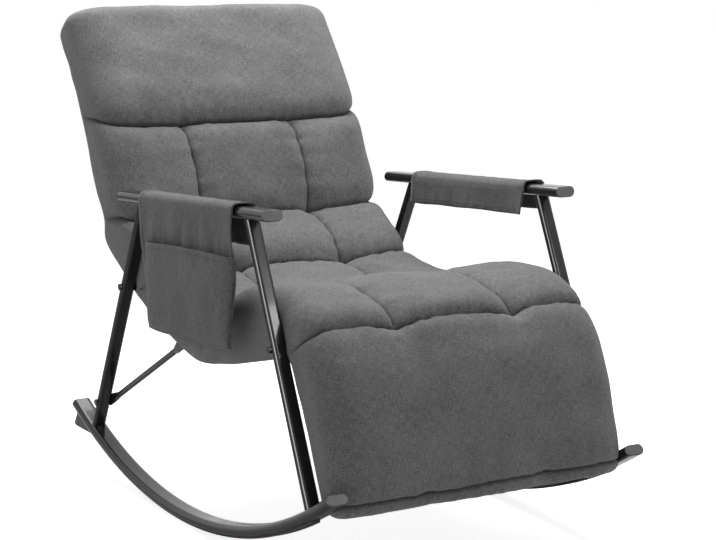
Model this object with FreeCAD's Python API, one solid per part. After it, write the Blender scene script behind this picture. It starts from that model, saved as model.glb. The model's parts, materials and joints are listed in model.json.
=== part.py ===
import FreeCAD, Part
import math
import os
from FreeCAD import Vector, Placement, Rotation

# A rocking lounge chair. Two steel side frames stand on bent runners and carry a sling seat. The
# backrest and the footrest turn on ratchet hinges, and padding lies on all three. Millimetres, +Z up,
# the sitter faces -Y and the right-hand side is -X. The origin is on the floor, midway between the
# runners, below the point where they touch it.

# Side frames
side_spacing = 604.0          # between the middles of the two side frames
runner_width = 40.0           # flat oval tube of the runners and the armrests
runner_height = 20.0
runner_wall = 1.5
bore_bevel = 0.45             # where the bore's side bevels start, as a share of its half height
runner_radius = 1125.0        # middle of the runner tube
runner_front_angle = 32.0     # from the contact point forward to the tip
runner_rear_angle = 25.0
leg_width = 28.0              # flat oval tube of the legs, wide across the chair
leg_depth = 15.0
leg_wall = 1.5
armrest_front = (-380.0, 620.0)
armrest_length = 600.0
armrest_slope = 3.3           # degrees down to the rear
front_leg_at_armrest = -303.0
front_leg_lean = 24.5         # degrees, foot forward
rear_leg_at_armrest = 127.0
rear_leg_lean = 27.5          # degrees, foot rearward

# Small parts of the side frames
strip_thickness = 4.0         # rubber tread under the runner
strip_width = 20.0
strip_front_angle = 27.4
strip_rear_angle = 20.0
plug_lip = 3.0                # end plugs: visible lip and the barrel inside the tube
plug_barrel = 14.0
plug_gap = 0.1
stopper_width = 28.0          # wedge under the rear of the runner that stops a backward tip
stopper_angle = 24.2          # its rear face meets the runner here
stopper_height = 73.0         # of its level underside over the floor
stopper_flare = 20.0          # its rear face leans out this far
stopper_round = 5.0

# Seat rails and frames of square tube
tube_half = 10.0
tube_wall = 1.5
foot_hinge = (-432.0, 405.0)  # middle of the footrest hinge, at the front end of the rail
rail_front_slope = 13.6       # degrees down to the rear
rail_front_length = 239.0
rail_bend_radius = 587.0
rail_rear_slope = 37.0        # degrees up to the rear
rail_rear_length = 55.0
back_lean = 20.0              # backrest tube, degrees from upright at its foot
back_straight = 90.0
back_bend_radius = 850.0
back_bend = 18.0              # degrees
back_top_straight = 75.0
foot_drop = 66.0              # footrest, degrees below level
foot_length = 238.0
corner_radius = 60.0          # bends at the free ends of the backrest and footrest frames
cross_tube_radius = 9.0
seat_cross_places = (60.0, 722.0)
back_stay_place = 240.0
foot_stay_place = 110.0

# Diagonal braces
brace_radius = 6.0
brace_plate = 3.0             # thickness of the flattened ends, and of the spacers
brace_flat_width = 20.0
brace_foot_flat = 20.0        # flattened length from the bolt on
brace_head_flat = 38.0
brace_taper = 25.0
brace_foot_height = 147.0
brace_rail_place = 437.0

# Bolts
bolt_radius = 4.0
bolt_gap = 0.2
bolt_head_radius = 6.5
bolt_head_height = 4.0
nut_across = 13.0
nut_height = 6.0
spacer_radius = 9.0
front_bolt_place = 36.0       # along the rail from the footrest hinge
rear_bolt_height = 406.0

# Ratchet hinges
disc_radius = 16.0            # toothed disc, over the tooth tips
disc_thickness = 5.0
tooth_depth = 1.8
notch_pitch = 10.0            # degrees
notch_share = 0.85            # of the pitch
notch_count = 7               # the first holds the upright back or the hanging footrest
tail_reach = 30.0             # length of the disc's tail inside the tube
tail_fit = 0.1
tube_setback = 22.0           # from the hinge axis to the end of the seat rail
cheek_radius = 20.0
cheek_thickness = 2.5
cheek_gap = 0.3               # between a cheek and the disc
fork_slot = 45.0              # from the axis to the bottom of the slot
fork_length = 58.0            # from the axis to the end of the carried tube
spigot_length = 25.0
pivot_radius = 4.0
pivot_gap = 0.05
pivot_head_radius = 7.5
pivot_head_height = 2.5
pawl_pivot = (33.0, 6.0)
pawl_pivot_radius = 2.5
pawl_eye_radius = 5.0
pawl_thickness = 4.4
pawl_bar = 4.2
pawl_gap = 0.15
pawl_clear = 0.4              # between the bar of the pawl and the tooth tips

# Webbing and padding
strap_width = 42.0
strap_thickness = 1.5
strap_overhang = 6.0
seat_strap_places = (110.0, 190.0, 270.0, 350.0, 430.0, 510.0, 590.0, 660.0)
back_strap_places = (110.0, 180.0, 295.0, 350.0)
foot_strap_places = (82.0, 165.0)
pad_lift = 12.0               # underside of the padding above the middle of the tubes
seat_pad_top = 88.0
back_pad_top = 88.0
foot_pad_top = 50.0
seat_pad_half_width = 283.0
back_pad_half_width = 300.0
foot_pad_half_width = 278.0
back_pad_past_tube = 15.0
foot_pad_past_tube = 14.0
pad_wall = 10.0               # cover and wadding; the loose filling inside it isn't modelled
pad_bevel = 20.0
foot_pad_bevel = 14.0
seat_row_places = (330.0, 582.0)
back_row_place = 227.0
back_fold_angle = 151.0       # rear face of the seat pad, seen from the back hinge
foot_fold_angle = 94.5        # front face of the seat pad, seen from the footrest hinge
fold_gap_angle = 1.5
hinge_relief = 24.5

# Armrest covers and side pocket
cover_front = 96.0            # along the armrest from its front end
cover_length = 392.0
cover_gap = 0.3
cover_thickness = 4.0
skirt_drop = 34.0
skirt_thickness = 3.0
pocket_front = 107.0          # along the armrest from its front end
pocket_length = 352.0
pocket_depth = 237.0          # below the middle of the armrest
pocket_mouth = 74.0
pocket_space = 11.0
pocket_cloth = 3.0
pocket_top = 6.0

half_spacing = side_spacing / 2
runner_centre_height = strip_thickness + runner_height / 2 + runner_radius
leg_inside = half_spacing - leg_width / 2
rail_x = leg_inside - brace_plate - tube_half
hinge_width = disc_thickness + 2 * (cheek_gap + cheek_thickness)
armrest_axis = Vector(0, math.cos(math.radians(armrest_slope)), -math.sin(math.radians(armrest_slope)))
armrest_down = Vector(0, armrest_axis.z, -armrest_axis.y)
sides = {"right": -1, "left": 1}
x_axis = Vector(1, 0, 0)


def side_point(place, x=0.0):
    """A point given by its place (y, z) in the side view."""
    return Vector(x, place[0], place[1])


def towards(angle):
    """Unit direction in the side view, counted in degrees from +Y towards +Z."""
    return Vector(0, math.cos(math.radians(angle)), math.sin(math.radians(angle)))


class SideLine:
    """A line in the side view made of straight and round stretches, each tangent to the last."""

    def __init__(self, start, heading, stretches):
        self.stretches = []
        point = Vector(0, start[0], start[1])
        for length, radius in stretches:
            self.stretches.append((point, heading, length, radius))
            point, heading = self.step(point, heading, length, radius)
        self.end, self.end_heading = point, heading
        self.length = sum(stretch[2] for stretch in self.stretches)

    @staticmethod
    def step(point, heading, length, radius):
        """Move along one stretch. A radius above 0 bends to the left, below 0 to the right, 0 is straight."""
        if radius == 0:
            return point + towards(heading) * length, heading
        turned = heading + math.degrees(length / radius)
        centre = point + towards(heading + 90) * radius
        return centre - towards(turned + 90) * radius, turned

    def at(self, place, offset=0.0):
        """Point and heading at a distance along the line, set off to its left."""
        left = place
        for point, heading, length, radius in self.stretches:
            if left <= length or (point, heading, length, radius) == self.stretches[-1]:
                point, heading = self.step(point, heading, left, radius)
                return point + towards(heading + 90) * offset, heading
            left -= length

    def edges(self, start, end, offset, x=0.0):
        """The line between two places as edges, set off to its left and moved to x."""
        made, passed = [], 0.0
        move = Vector(x, 0, 0)
        for _, _, length, radius in self.stretches:
            first, last = max(start, passed), min(end, passed + length)
            passed += length
            if last - first < 1e-6:
                continue
            a, b = self.at(first, offset)[0] + move, self.at(last, offset)[0] + move
            if radius == 0:
                made.append(Part.LineSegment(a, b).toShape())
            else:
                middle = self.at((first + last) / 2, offset)[0] + move
                made.append(Part.Arc(a, middle, b).toShape())
        return made


def arc_line(start, heading, straight, radius, turn, last=0.0):
    """A side line with a straight start, a bend of so many degrees and a straight end."""
    bend = radius if turn > 0 else -radius
    stretches = [(straight, 0), (radius * math.radians(abs(turn)), bend)]
    if last:
        stretches.append((last, 0))
    return SideLine(start, heading, stretches)


seat_line = arc_line(foot_hinge, -rail_front_slope, rail_front_length, rail_bend_radius,
                     rail_front_slope + rail_rear_slope, rail_rear_length)
back_hinge = (seat_line.end.y, seat_line.end.z)
back_line = arc_line(back_hinge, 90 - back_lean, back_straight, back_bend_radius, -back_bend,
                     back_top_straight)
foot_line = SideLine(foot_hinge, 180 + foot_drop, [(foot_length, 0)])


def flat_oval(width, height):
    """Wire of a flat oval about the origin, wide along X and high along Z."""
    r = height / 2
    w = width / 2 - r
    corners = [Vector(-w, 0, r), Vector(w, 0, r), Vector(w, 0, -r), Vector(-w, 0, -r)]
    edges = [Part.LineSegment(corners[0], corners[1]).toShape(),
             Part.Arc(corners[1], Vector(w + r, 0, 0), corners[2]).toShape(),
             Part.LineSegment(corners[2], corners[3]).toShape(),
             Part.Arc(corners[3], Vector(-w - r, 0, 0), corners[0]).toShape()]
    return Part.Wire(edges)


def bore(width, height):
    """Wire of the hollow in a flat oval tube, with bevels in place of its round sides."""
    w, h = width / 2 - runner_wall, height / 2 - runner_wall
    corners = []
    for across, up in ((1, 1), (1, -1), (-1, -1), (-1, 1)):
        side_corner = Vector(across * w, 0, up * h * bore_bevel)
        flat_corner = Vector(across * (w - h + h * bore_bevel), 0, up * h)
        corners.extend([flat_corner, side_corner] if across == up else [side_corner, flat_corner])
    return Part.makePolygon(corners + corners[:1])


def straight_bar(section, start, direction, length, x):
    """A solid bar of a section from start (y, z) along a direction in the side view."""
    bar = Part.Face(section).extrude(Vector(0, length, 0))
    angle = math.degrees(math.atan2(direction.z, direction.y))
    bar.Placement = Placement(side_point(start, x), Rotation(x_axis, angle))
    return bar


def runner_point(angle, radius=runner_radius):
    """Place (y, z) on the runner's circle, the angle counted rearward from the contact point."""
    turn = math.radians(angle)
    return (radius * math.sin(turn), runner_centre_height - radius * math.cos(turn))


def runner_sweep(section, x, front_angle, rear_angle):
    """Turn a section standing at the contact point along the runner's circle."""
    centre = Vector(0, 0, runner_centre_height)
    section.translate(Vector(x, 0, strip_thickness + runner_height / 2))
    section.rotate(centre, x_axis, -front_angle)
    return section.revolve(centre, x_axis, front_angle + rear_angle)


def runner_bar(section, x):
    """The full runner as a solid bar of the given section."""
    return runner_sweep(Part.Face(section), x, runner_front_angle, runner_rear_angle)


def armrest_point(along, below=0.0):
    """Place (y, z) along the armrest from its front end, and square to it below its middle."""
    p = side_point(armrest_front) + armrest_axis * along + armrest_down * below
    return (p.y, p.z)


def armrest_bar(section, x, start=0.0, length=armrest_length):
    return straight_bar(section, armrest_point(start), armrest_axis, length, x)


def leg_axis(at_armrest, lean):
    """Start (y, z) on the armrest's middle and unit direction down the leg."""
    along = (at_armrest - armrest_front[0]) / armrest_axis.y
    return armrest_point(along), towards(-90 + lean)


def leg_place(start, direction, height):
    """Place (y, z) on a leg's middle at a height."""
    t = (height - start[1]) / direction.z
    return (start[0] + direction.y * t, height)


front_leg_axis = leg_axis(front_leg_at_armrest, -front_leg_lean)
rear_leg_axis = leg_axis(rear_leg_at_armrest, rear_leg_lean)


def cross_cylinder(place, radius, x_from, x_to):
    """A cylinder across the chair through a place (y, z)."""
    low, high = min(x_from, x_to), max(x_from, x_to)
    return Part.makeCylinder(radius, high - low, side_point(place, low), x_axis)


def bolt_hole(place):
    """The hole for a bolt, right across the chair."""
    reach = half_spacing + leg_width
    return cross_cylinder(place, bolt_radius + bolt_gap, -reach, reach)


front_bolt = seat_line.at(front_bolt_place)[0]
front_bolt = (front_bolt.y, front_bolt.z)
rear_bolt = leg_place(*rear_leg_axis, rear_bolt_height)
brace_foot = leg_place(*rear_leg_axis, brace_foot_height)
brace_head = seat_line.at(brace_rail_place)[0]
brace_head = (brace_head.y, brace_head.z)


def make_leg(axis, x, bolts):
    """A leg tube cut to sit under the armrest and on top of the runner."""
    start, direction = axis
    outer = straight_bar(flat_oval(leg_width, leg_depth), start, direction, start[1], x)
    inner = flat_oval(leg_width - 2 * leg_wall, leg_depth - 2 * leg_wall)
    leg = outer.cut(straight_bar(inner, start, direction, start[1], x))
    above = Part.makeBox(2 * leg_width, armrest_length, armrest_length)
    above.Placement = Placement(side_point(armrest_point(0, runner_height / 2), x - leg_width),
                                Rotation(x_axis, -armrest_slope))
    inside_runner = cross_cylinder((0, runner_centre_height), runner_radius - runner_height / 2,
                                   x - leg_width, x + leg_width)
    leg = leg.cut(above).common(inside_runner)
    for place in bolts:
        leg = leg.cut(bolt_hole(place))
    return leg


def make_plug(place, direction, x):
    """End plug of a flat oval tube: a bevelled lip over the end and a barrel inside it."""
    lip = Part.Face(flat_oval(runner_width, runner_height)).extrude(Vector(0, plug_lip, 0))
    front = [e for e in lip.Edges if abs(e.CenterOfMass.y - plug_lip) < 1e-6]
    lip = lip.makeChamfer(plug_lip * 0.5, front)
    shrink = 2 * plug_gap
    barrel = Part.Face(bore(runner_width - shrink, runner_height - shrink))
    plug = lip.fuse(barrel.extrude(Vector(0, -plug_barrel, 0))).removeSplitter()
    angle = math.degrees(math.atan2(direction.z, direction.y))
    plug.Placement = Placement(side_point(place, x), Rotation(x_axis, angle))
    return plug


def make_armrest(x):
    hollow = armrest_bar(bore(runner_width, runner_height), x)
    return armrest_bar(flat_oval(runner_width, runner_height), x).cut(hollow)


def make_armrest_plugs(x):
    rear = armrest_point(armrest_length)
    return Part.makeCompound([make_plug(armrest_front, armrest_axis * -1, x),
                              make_plug(rear, armrest_axis, x)])


def make_runner(x):
    hollow = runner_bar(bore(runner_width, runner_height), x)
    return runner_bar(flat_oval(runner_width, runner_height), x).cut(hollow)


def make_runner_plugs(x):
    front = make_plug(runner_point(-runner_front_angle), towards(180 - runner_front_angle), x)
    rear = make_plug(runner_point(runner_rear_angle), towards(runner_rear_angle), x)
    return Part.makeCompound([front, rear])


def make_strip(x):
    """Rubber tread that lies on the flat of the runner's underside."""
    half, top = strip_width / 2, -runner_height / 2
    corners = [Vector(-half, 0, top), Vector(half, 0, top), Vector(half, 0, top - strip_thickness),
               Vector(-half, 0, top - strip_thickness)]
    section = Part.Face(Part.makePolygon(corners + corners[:1]))
    return runner_sweep(section, x, strip_front_angle, strip_rear_angle)


def make_stopper(x):
    """Wedge under the runner's rear end that stops the chair from tipping over backward."""
    under = runner_radius + runner_height / 2
    middle = runner_radius
    front_angle = math.degrees(math.acos((runner_centre_height - stopper_height) / under))
    top = runner_point(stopper_angle, under)
    corners = [side_point(runner_point(front_angle, under)),
               Vector(0, top[0] + stopper_flare, stopper_height),
               side_point(top),
               side_point(runner_point(stopper_angle, middle)),
               side_point(runner_point(front_angle, middle))]
    block = Part.Face(Part.makePolygon(corners + corners[:1])).extrude(x_axis * stopper_width)
    block.translate(Vector(x - stopper_width / 2, 0, 0))
    rear = [e for e in block.Edges if abs(e.CenterOfMass.y - corners[1].y) < 1e-6]
    block = block.makeFillet(stopper_round, rear)
    return keep_lowest(block.cut(runner_bar(flat_oval(runner_width, runner_height), x)))


def keep_lowest(shape):
    """The solid of a shape that lies lowest."""
    return min(shape.Solids, key=lambda solid: solid.CenterOfMass.z)


def square_bar(edge, half, normal=None):
    """A square bar along one straight or round edge."""
    first, last = edge.FirstParameter, edge.LastParameter
    point, tangent = edge.valueAt(first), edge.tangentAt(first)
    up = normal or x_axis.cross(tangent)
    across = tangent.cross(up)
    corners = [point + (across * i + up * j) * half for i, j in ((1, 1), (1, -1), (-1, -1), (-1, 1))]
    face = Part.Face(Part.makePolygon(corners + corners[:1]))
    if edge.Curve.TypeId == "Part::GeomCircle":
        return face.revolve(edge.Curve.Center, edge.Curve.Axis, math.degrees(last - first))
    return face.extrude(edge.valueAt(last) - point)


def joined(pieces):
    return pieces[0].multiFuse(pieces[1:]).removeSplitter()


def square_tube(edges, normal=None):
    """A square tube along joined edges, cut square at both ends."""
    outer = joined([square_bar(edge, tube_half, normal) for edge in edges])
    return outer.cut(joined([square_bar(edge, tube_half - tube_wall, normal) for edge in edges]))


def rail_edges(x):
    return seat_line.edges(tube_setback, seat_line.length - tube_setback, 0, x)


def make_rail(x):
    rail = square_tube(rail_edges(x))
    for place in (front_bolt, rear_bolt, brace_head):
        rail = rail.cut(bolt_hole(place))
    return rail


def make_cross_tube(line, place):
    """A round tube across the chair between the two side tubes of a frame."""
    centre = line.at(place)[0]
    place = (centre.y, centre.z)
    reach = rail_x - tube_half
    tube = cross_cylinder(place, cross_tube_radius, -reach, reach)
    return tube.cut(cross_cylinder(place, cross_tube_radius - tube_wall, -reach, reach))


def free_end_frame(line, start, end):
    """A tube up one side of a frame, across its free end and down the other side."""
    bend_start, heading = line.at(end - corner_radius)
    forward = towards(heading)
    slant = math.sqrt(0.5)
    outer, inner = [], []
    for side in sides.values():
        x = side * rail_x
        a = bend_start + x_axis * x
        b = a + forward * corner_radius - x_axis * side * corner_radius
        middle = a + (forward * slant - x_axis * side * (1 - slant)) * corner_radius
        edges = line.edges(start, end - corner_radius, 0, x) + [Part.Arc(a, middle, b).toShape()]
        outer += [square_bar(edge, tube_half) for edge in edges]
        inner += [square_bar(edge, tube_half - tube_wall) for edge in edges]
    tip = bend_start + forward * corner_radius
    half = x_axis * (rail_x - corner_radius)
    across = Part.LineSegment(tip - half, tip + half).toShape()
    normal = towards(heading + 90)
    outer.append(square_bar(across, tube_half, normal))
    inner.append(square_bar(across, tube_half - tube_wall, normal))
    return joined(outer).cut(joined(inner))


def flattened_brace(side):
    """A round tube with both ends pressed flat, bolted to the rear leg's foot and to the seat rail."""
    foot, head = side_point(brace_foot), side_point(brace_head)
    along = (head - foot).normalize()
    across = Vector(0, -along.z, along.y)
    plate_out = side * leg_inside
    plate_in = side * (leg_inside - brace_plate)
    tube_x = side * (leg_inside - brace_radius)
    length = head.sub(foot).Length

    def flat_wire(t):
        """The flattened section, eight-sided like the start of the round part."""
        half, p = brace_flat_width / 2, foot + along * t
        ring = []
        for high, x in ((0.5, plate_in), (-0.5, plate_in), (-1, plate_in), (-1, plate_out),
                        (-0.5, plate_out), (0.5, plate_out), (1, plate_out), (1, plate_in)):
            ring.append(p + across * (high * half) + x_axis * x)
        return Part.makePolygon(ring + ring[:1])

    def round_corners(t):
        centre = foot + along * t + x_axis * tube_x
        ring = []
        for i in range(8):
            turn = math.radians(157.5 + 45 * i)
            out = x_axis * (side * math.cos(turn)) + across * math.sin(turn)
            ring.append(centre + out * brace_radius)
        return Part.makePolygon(ring + ring[:1])

    def end_plate(bolt, t, reach):
        plate = Part.Face(flat_wire(t)).extrude(along * reach)
        return plate.fuse(cross_cylinder(bolt, brace_flat_width / 2, plate_in, plate_out))

    first, last = brace_foot_flat, length - brace_head_flat
    tube_start = foot + along * (first + brace_taper) + x_axis * tube_x
    tube_length = last - first - 2 * brace_taper
    tube = Part.makeCylinder(brace_radius, tube_length, tube_start, along)
    brace = tube.cut(Part.makeCylinder(brace_radius - tube_wall, tube_length, tube_start, along))
    for t, inward in ((first, 1), (last, -1)):
        taper = Part.makeLoft([flat_wire(t), round_corners(t + inward * brace_taper)], True, True)
        brace = brace.fuse(taper)
    brace = brace.fuse(end_plate(brace_foot, first, -brace_foot_flat))
    brace = brace.fuse(end_plate(brace_head, last, brace_head_flat))
    for place in (brace_foot, brace_head):
        brace = brace.cut(bolt_hole(place))
    return brace


def make_bolt(place, side, head_from, end):
    """A round-headed bolt across the chair, its head at the outer side."""
    shank = cross_cylinder(place, bolt_radius, side * end, side * head_from)
    head = cross_cylinder(place, bolt_head_radius, side * head_from, side * (head_from + bolt_head_height))
    return shank.fuse(head).removeSplitter()


def make_nut(place, side, face):
    """A hexagon nut against an inner face."""
    start = side_point(place, side * face)
    corners = []
    for i in range(6):
        corners.append(start + towards(60 * i) * (nut_across / math.sqrt(3)))
    nut = Part.Face(Part.makePolygon(corners + corners[:1])).extrude(x_axis * (-side * nut_height))
    return nut.cut(cross_cylinder(place, bolt_radius + 0.02, -side_spacing, side_spacing))


def rail_inside():
    return rail_x - tube_half


def make_fasteners():
    """Bolts, nuts and spacers of both sides, in three groups."""
    bolts, nuts, spacers = [], [], []
    outside = half_spacing + leg_width / 2
    for side in sides.values():
        for place in (front_bolt, rear_bolt):
            bolts.append(make_bolt(place, side, outside, rail_inside() - nut_height - 1))
            nuts.append(make_nut(place, side, rail_inside()))
            spacer = cross_cylinder(place, spacer_radius, side * leg_inside, side * (leg_inside - brace_plate))
            spacers.append(spacer.cut(bolt_hole(place)))
        bolts.append(make_bolt(brace_foot, side, outside, leg_inside - brace_plate - nut_height - 1))
        nuts.append(make_nut(brace_foot, side, leg_inside - brace_plate))
        bolts.append(make_bolt(brace_head, side, leg_inside, rail_inside() - nut_height - 1))
        nuts.append(make_nut(brace_head, side, rail_inside()))
    return [Part.makeCompound(group) for group in (bolts, nuts, spacers)]


def at_hinge(shape, hinge, angle, x):
    """Put a shape drawn flat about the origin onto a hinge, its X along the angle and its Z across."""
    shape.Placement = Placement(side_point(hinge, x), Rotation(x_axis, angle) * Rotation(Vector(1, 1, 1), 120))
    return shape


def polar(radius, angle):
    return Vector(radius * math.cos(math.radians(angle)), radius * math.sin(math.radians(angle)), 0)


def prism(corners, thickness):
    """A flat plate with the given outline, centred on its middle plane."""
    face = Part.Face(Part.makePolygon(corners + corners[:1]))
    face.translate(Vector(0, 0, -thickness / 2))
    return face.extrude(Vector(0, 0, thickness))


def disc(radius, thickness, x=0.0, y=0.0):
    return Part.makeCylinder(radius, thickness, Vector(x, y, -thickness / 2))


def notch_outline(angle, lock_side, gap=0.0):
    """One ratchet notch: a steep face on the side that holds the load, a slope on the other."""
    span = notch_pitch * notch_share
    root, top = disc_radius - tooth_depth + gap, disc_radius + tooth_depth
    steep = math.degrees(gap / disc_radius)
    reach = span * (top - disc_radius + tooth_depth) / tooth_depth
    first = angle + lock_side * (span / 2 - steep)
    last = angle + lock_side * (span / 2 - reach + steep)
    return [polar(root, first), polar(top, first), polar(top, last)]


def make_toothed_disc(rest_notch, lock_side):
    """Toothed disc with the tail that sits in the end of the seat rail. X runs along the tail."""
    tail = tube_setback + tail_reach
    half = tube_half - tube_wall - tail_fit
    plate = disc(disc_radius, disc_thickness)
    plate = plate.fuse(prism([Vector(0, -half, 0), Vector(tail, -half, 0), Vector(tail, half, 0),
                              Vector(0, half, 0)], disc_thickness))
    for i in range(notch_count):
        angle = rest_notch - i * notch_pitch
        plate = plate.cut(prism(notch_outline(angle, lock_side), 2 * disc_thickness))
    return plate.cut(disc(pivot_radius + pivot_gap, 2 * disc_thickness))


def pawl_angles():
    """Direction of the pawl's pivot from the hinge axis, and of its nose on the disc."""
    reach = math.hypot(*pawl_pivot)
    pivot = math.degrees(math.atan2(pawl_pivot[1], pawl_pivot[0]))
    return pivot, pivot + math.degrees(math.acos(disc_radius / reach))


def fork_outline(radius, half, length, thickness):
    """Cheek outline: a round head about the axis that narrows to the width of the tube."""
    head = disc(radius, thickness)
    start = math.degrees(math.acos((radius - half) / length))
    arm = [polar(radius, -start), Vector(length, -half, 0), Vector(length, half, 0), polar(radius, start)]
    return head.fuse(prism(arm, thickness)).removeSplitter()


def arm_block(start, length, half):
    """A square block along the arm of a fork."""
    return Part.makeBox(length, 2 * half, 2 * half, Vector(start, -half, -half))


def make_fork(mirror):
    """Fork of the moving frame: two cheeks over the disc and a spigot for the tube. X runs along the arm."""
    fork = fork_outline(cheek_radius, tube_half, fork_length, hinge_width)
    collar_start = fork_slot + pawl_eye_radius
    collar = arm_block(collar_start, fork_length - collar_start, tube_half)
    spigot = arm_block(fork_length, spigot_length, tube_half - tube_wall - tail_fit)
    slot_width = disc_thickness + 2 * cheek_gap
    reach = 2 * cheek_radius
    slot = Part.makeBox(fork_slot + reach, 2 * reach, slot_width, Vector(-reach, -reach, -slot_width / 2))
    fork = fork.fuse(collar).fuse(spigot).cut(slot)
    fork = fork.cut(disc(pivot_radius, 2 * hinge_width))
    return fork.cut(disc(pawl_pivot_radius, 2 * hinge_width, pawl_pivot[0], mirror * pawl_pivot[1]))


def make_pivot():
    """Main rivet with a head on each cheek."""
    rivet = disc(pivot_radius, hinge_width)
    for z in (-hinge_width / 2 - pivot_head_height, hinge_width / 2):
        rivet = rivet.fuse(Part.makeCylinder(pivot_head_radius, pivot_head_height, Vector(0, 0, z)))
    return rivet.removeSplitter()


def make_pawl_rivet(mirror):
    height = hinge_width + 2
    rivet = disc(pawl_pivot_radius, height, pawl_pivot[0], mirror * pawl_pivot[1])
    for z in (-height / 2, height / 2 - 1):
        rivet = rivet.fuse(Part.makeCylinder(pawl_pivot_radius * 1.6, 1.0,
                                             Vector(pawl_pivot[0], mirror * pawl_pivot[1], z)))
    return rivet.removeSplitter()


def make_pawl(mirror, lock_side):
    """Pawl with an eye on its rivet, a bar along the disc and a nose that fills one notch."""
    pivot_angle, nose_angle = pawl_angles()
    eye = Vector(pawl_pivot[0], mirror * pawl_pivot[1], 0)
    nose_angle *= mirror
    out = polar(1, nose_angle)
    nose = polar(disc_radius + pawl_clear, nose_angle)
    tip = nose - (eye - nose).normalize() * pawl_eye_radius * 0.5
    bar = [eye - out * (pawl_eye_radius * 0.6), tip, tip + out * pawl_bar, eye + out * pawl_eye_radius]
    pawl = prism(bar, pawl_thickness).fuse(disc(pawl_eye_radius, pawl_thickness, eye.x, eye.y))
    pawl = pawl.cut(disc(disc_radius + pawl_clear, 2 * pawl_thickness))
    corners = notch_outline(nose_angle, lock_side, pawl_gap)
    tooth = prism(corners, pawl_thickness).common(disc(disc_radius + pawl_clear + 1, pawl_thickness))
    pawl = pawl.fuse(tooth).cut(disc(pawl_pivot_radius + pivot_gap, 2 * pawl_thickness, eye.x, eye.y))
    return pawl.removeSplitter()


def ribbon(line, start, end, low, high, half_width):
    """A slab across the chair between two offsets of a side line."""
    below = line.edges(start, end, low, -half_width)
    above = line.edges(start, end, high, -half_width)
    ends = []
    for place in (start, end):
        a, b = line.at(place, low)[0], line.at(place, high)[0]
        move = Vector(-half_width, 0, 0)
        ends.append(Part.LineSegment(a + move, b + move).toShape())
    wire = Part.Wire(Part.__sortEdges__(below + above + ends))
    return Part.Face(wire).extrude(Vector(2 * half_width, 0, 0))


def make_straps(line, places, sign):
    """Bands of webbing that lie across the frame, on the sitter's side of its tubes."""
    bands = []
    for place in places:
        low, high = sign * tube_half, sign * (tube_half + strap_thickness)
        bands.append(ribbon(line, place - strap_width / 2, place + strap_width / 2, low, high,
                            rail_x + strap_overhang))
    return Part.makeCompound(bands)


def wedge(hinge, first, last):
    """A cutter across the chair that fills the angle between two directions from a hinge."""
    reach = 4 * (seat_pad_top + tube_half)
    start = side_point(hinge, -side_spacing)
    corners = [start]
    for i in range(4):
        corners.append(start + towards(first + (last - first) * i / 3) * reach)
    return Part.Face(Part.makePolygon(corners + [start])).extrude(x_axis * 2 * side_spacing)


def bevel_sides(pad, line, half_width, high, size):
    """Bevel the two long upper edges of a pad."""
    edges = []
    for edge in pad.Edges:
        middle = edge.valueAt((edge.FirstParameter + edge.LastParameter) / 2)
        on_side = abs(abs(middle.x) - half_width) < 1e-6
        upper = False
        for i in range(61):
            place = line.length * (i / 60.0)
            point = line.at(place, high)[0]
            if math.hypot(point.y - middle.y, point.z - middle.z) < line.length / 60:
                upper = True
        if on_side and upper and edge.Length > 2 * size:
            edges.append(edge)
    return pad.makeChamfer(size, edges)


def pad_row(line, start, end, top, half_width, bevel, folds, hinges):
    """One sewn row of padding with a hollow inside. Folds are (hinge, direction, turn) of its cut ends."""
    sign = 1 if top > 0 else -1
    made = []
    for inset, turn_more, relief in ((0, 0, hinge_relief), (pad_wall, 2 * pad_wall, hinge_relief + pad_wall)):
        row = ribbon(line, start + inset, end - inset, sign * (pad_lift + inset), top - sign * inset,
                     half_width - inset)
        for hinge, direction, turn in folds:
            shift = math.copysign(turn_more, turn)
            row = row.cut(wedge(hinge, direction - shift, direction + turn))
        for hinge in hinges:
            row = row.cut(cross_cylinder(hinge, relief, -side_spacing, side_spacing))
        made.append(bevel_sides(row, line, half_width - inset, top - sign * inset, bevel))
    return made


def make_seat_rows():
    """The three rows of the seat from the front on, cut to the folds at both ends."""
    start = side_point(foot_hinge) - towards(-rail_front_slope) * foot_pad_top
    line = SideLine((start.y, start.z), -rail_front_slope,
                    [(foot_pad_top + rail_front_length, 0)] + [part[2:] for part in seat_line.stretches[1:]])
    front_fold = [(foot_hinge, foot_fold_angle, 110)]
    rear_fold = [(back_hinge, back_fold_angle, -110)]
    first, second = (place + foot_pad_top for place in seat_row_places)
    spans = ((0, first, front_fold, [foot_hinge]), (first, second, [], []),
             (second, line.length, rear_fold, [back_hinge]))
    rows = []
    for low, high, folds, hinges in spans:
        row, hollow = pad_row(line, low, high, seat_pad_top, seat_pad_half_width, pad_bevel, folds, hinges)
        rows.append(row.cut(hollow))
    return rows


def make_back_rows():
    """The lower row of the backrest and the headrest."""
    line = arc_line(back_hinge, 90 - back_lean, back_straight, back_bend_radius, -back_bend,
                    back_top_straight + tube_half + back_pad_past_tube)
    fold = [(back_hinge, back_fold_angle - fold_gap_angle, 110)]
    rows = []
    for low, high, folds in ((0, back_row_place, fold), (back_row_place, line.length, [])):
        row, hollow = pad_row(line, low, high, back_pad_top, back_pad_half_width, pad_bevel, folds,
                              [back_hinge])
        rows.append(clear_of_forks(row, back_hinge, 90 - back_lean, 0).cut(
            clear_of_forks(hollow, back_hinge, 90 - back_lean, pad_wall)))
    return rows


def make_foot_pad():
    line = SideLine(foot_hinge, 180 + foot_drop, [(foot_length + foot_pad_past_tube, 0)])
    row, hollow = pad_row(line, 0, line.length, -foot_pad_top, foot_pad_half_width, foot_pad_bevel, [],
                          [foot_hinge])
    pad = clear_of_forks(row, foot_hinge, 180 + foot_drop, 0)
    return pad.cut(clear_of_forks(hollow, foot_hinge, 180 + foot_drop, pad_wall))


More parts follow.
